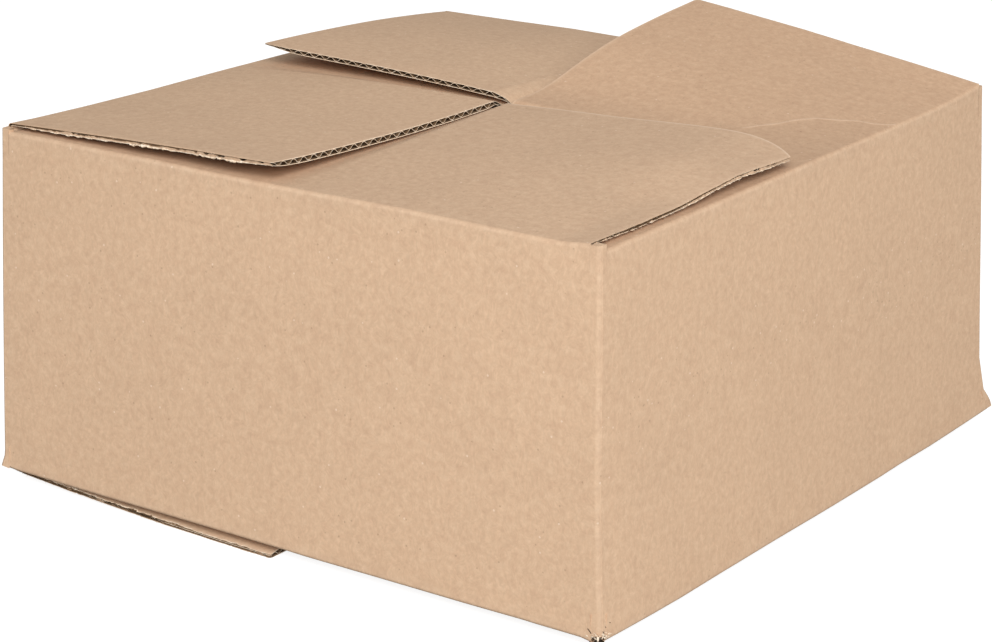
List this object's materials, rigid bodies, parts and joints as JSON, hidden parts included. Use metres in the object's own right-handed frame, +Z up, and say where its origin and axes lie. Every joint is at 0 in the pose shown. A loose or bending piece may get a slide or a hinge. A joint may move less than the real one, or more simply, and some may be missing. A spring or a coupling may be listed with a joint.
{
  "type": "closed cardboard box",
  "caption": "Square shipping box of corrugated cardboard, closed top and bottom by interlocked flaps laid in a pinwheel; it packs and ships goods.",
  "frame": {"origin": "on the floor, at the middle of the box's bounding box", "axes": "+Z up; X and Y square to the walls; the glued joint is the upright corner at -X, +Y; the flap that rises highest hinges on the +X wall"},
  "size_m": [0.305, 0.305, 0.1755],
  "materials": {
    "kraft_board": "uncoated brown kraft liner, matt"
  },
  "bodies": {
    "root": {"folded_carton": "kraft_board"}
  },
  "joints": []
}
